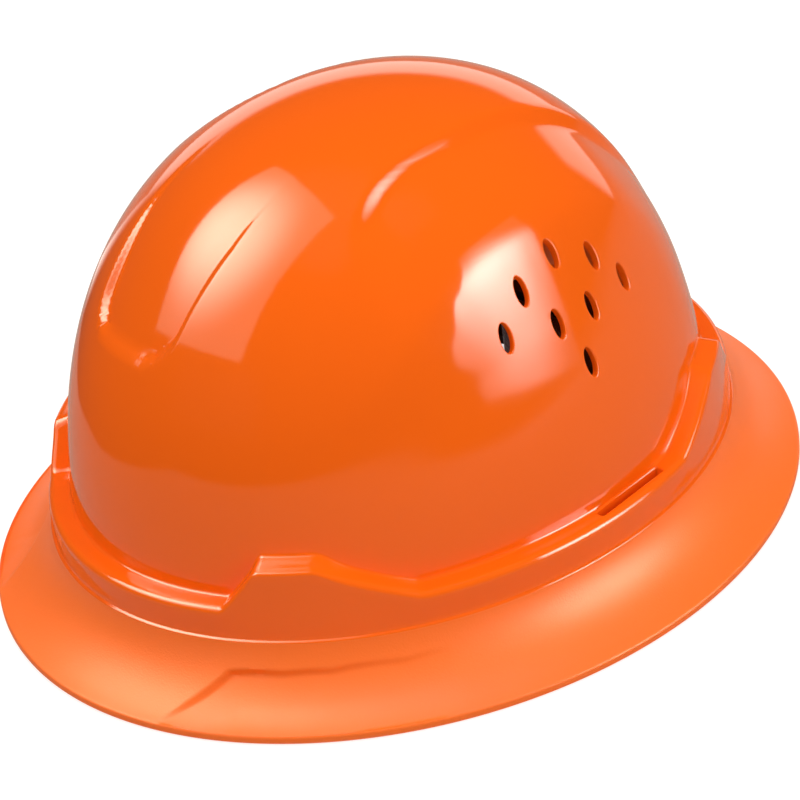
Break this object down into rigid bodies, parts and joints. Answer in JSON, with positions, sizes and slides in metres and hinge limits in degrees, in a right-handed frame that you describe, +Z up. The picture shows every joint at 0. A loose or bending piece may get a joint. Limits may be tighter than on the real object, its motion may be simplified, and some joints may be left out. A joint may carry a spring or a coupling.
{
  "type": "full brim hard hat",
  "caption": "Full brim hard hat: vented orange dome on a collar and flared oval brim, with a webbing suspension, sliding headband and ratchet nape.",
  "frame": {"origin": "middle of the flat ring under the brim's edge, on the surface the hat stands on", "axes": "+Z up through the crown, -Y to the front of the hat, +X to the wearer's left"},
  "size_m": [0.278, 0.32, 0.172],
  "materials": {
    "shell_orange": "glossy dome and collar, satin brim",
    "suspension_black": "fine matt moulding",
    "knob_grey": "fine matt moulding",
    "gear_white": "smooth, slightly waxy",
    "webbing": "woven tape",
    "pad_cloth": "brushed knit over foam",
    "screw_steel": "zinc plated"
  },
  "bodies": {
    "shell_body": {"shell": "shell_orange", "key_front_left": "suspension_black", "key_front_right": "suspension_black", "key_rear_left": "suspension_black", "key_rear_right": "suspension_black", "crown_strap_lower": "webbing", "crown_strap_upper": "webbing", "crown_keeper": "suspension_black"},
    "headband_body": {"headband": "suspension_black", "brow_pad": "pad_cloth", "pivot_pin_left": "suspension_black", "pivot_pin_right": "suspension_black"},
    "nape_body": {"nape_guide_left": "suspension_black", "nape_guide_right": "suspension_black", "ratchet_base": "suspension_black", "ratchet_cover": "suspension_black", "housing_screws": "screw_steel", "nape_pad": "pad_cloth"},
    "left_arm_body": {"rack_arm_left": "suspension_black"},
    "right_arm_body": {"rack_arm_right": "suspension_black"},
    "knob_body": {"pinion": "gear_white", "pawl_disc": "gear_white", "ratchet_knob": "knob_grey", "knob_screw": "screw_steel"}
  },
  "joints": [
    {"name": "headband_height", "type": "slide", "parent": "shell_body", "child": "headband_body", "axis": [0, 0, 1], "range_m": [0, 0.01]},
    {"name": "nape_tilt", "type": "hinge", "parent": "headband_body", "child": "nape_body", "pos_m": [0, -0.003, 0.032], "axis": [1, 0, 0], "range_deg": [-5, 5]},
    {"name": "ratchet_knob", "type": "hinge", "parent": "nape_body", "child": "knob_body", "pos_m": [0, 0.09, 0.032], "axis": [0, 1, 0], "range_deg": [0, 478]},
    {"name": "left_arm", "type": "hinge", "parent": "nape_body", "child": "left_arm_body", "pos_m": [0, -0.003, 0.032], "axis": [0, 0, 1], "range_deg": [-34, 0]},
    {"name": "right_arm", "type": "hinge", "parent": "nape_body", "child": "right_arm_body", "pos_m": [0, -0.003, 0.032], "axis": [0, 0, 1], "range_deg": [0, 34]}
  ],
  "couplings": [
    {"joint": "left_arm", "follows": "ratchet_knob", "ratio": -0.071006},
    {"joint": "right_arm", "follows": "ratchet_knob", "ratio": 0.069444}
  ]
}
